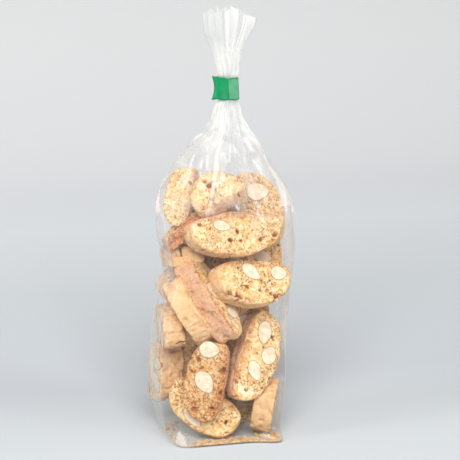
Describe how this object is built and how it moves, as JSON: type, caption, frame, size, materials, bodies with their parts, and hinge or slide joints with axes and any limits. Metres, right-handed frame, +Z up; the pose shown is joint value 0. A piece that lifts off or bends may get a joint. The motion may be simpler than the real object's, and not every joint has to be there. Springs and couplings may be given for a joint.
{
  "type": "bag of almond biscuits",
  "caption": "Clear film bag packed with slices of twice-baked almond biscuit, standing on its folded base, with the neck tied by green tape under a pleated fan of film.",
  "frame": {"origin": "middle of the flat folded base, on the surface the bag stands on", "axes": "+Z up through the bag, the wide front of the bag towards -Y, +X to the front's right"},
  "size_m": [0.0949, 0.0603, 0.29],
  "materials": {
    "clear_film": "thin glossy clear film with fine creases",
    "green_tape": "satin",
    "biscuit": "dry baked crumb and crust",
    "almond": "satin"
  },
  "bodies": {
    "root": {"bag": "clear_film", "closure_tape": "green_tape"}
  },
  "joints": []
}
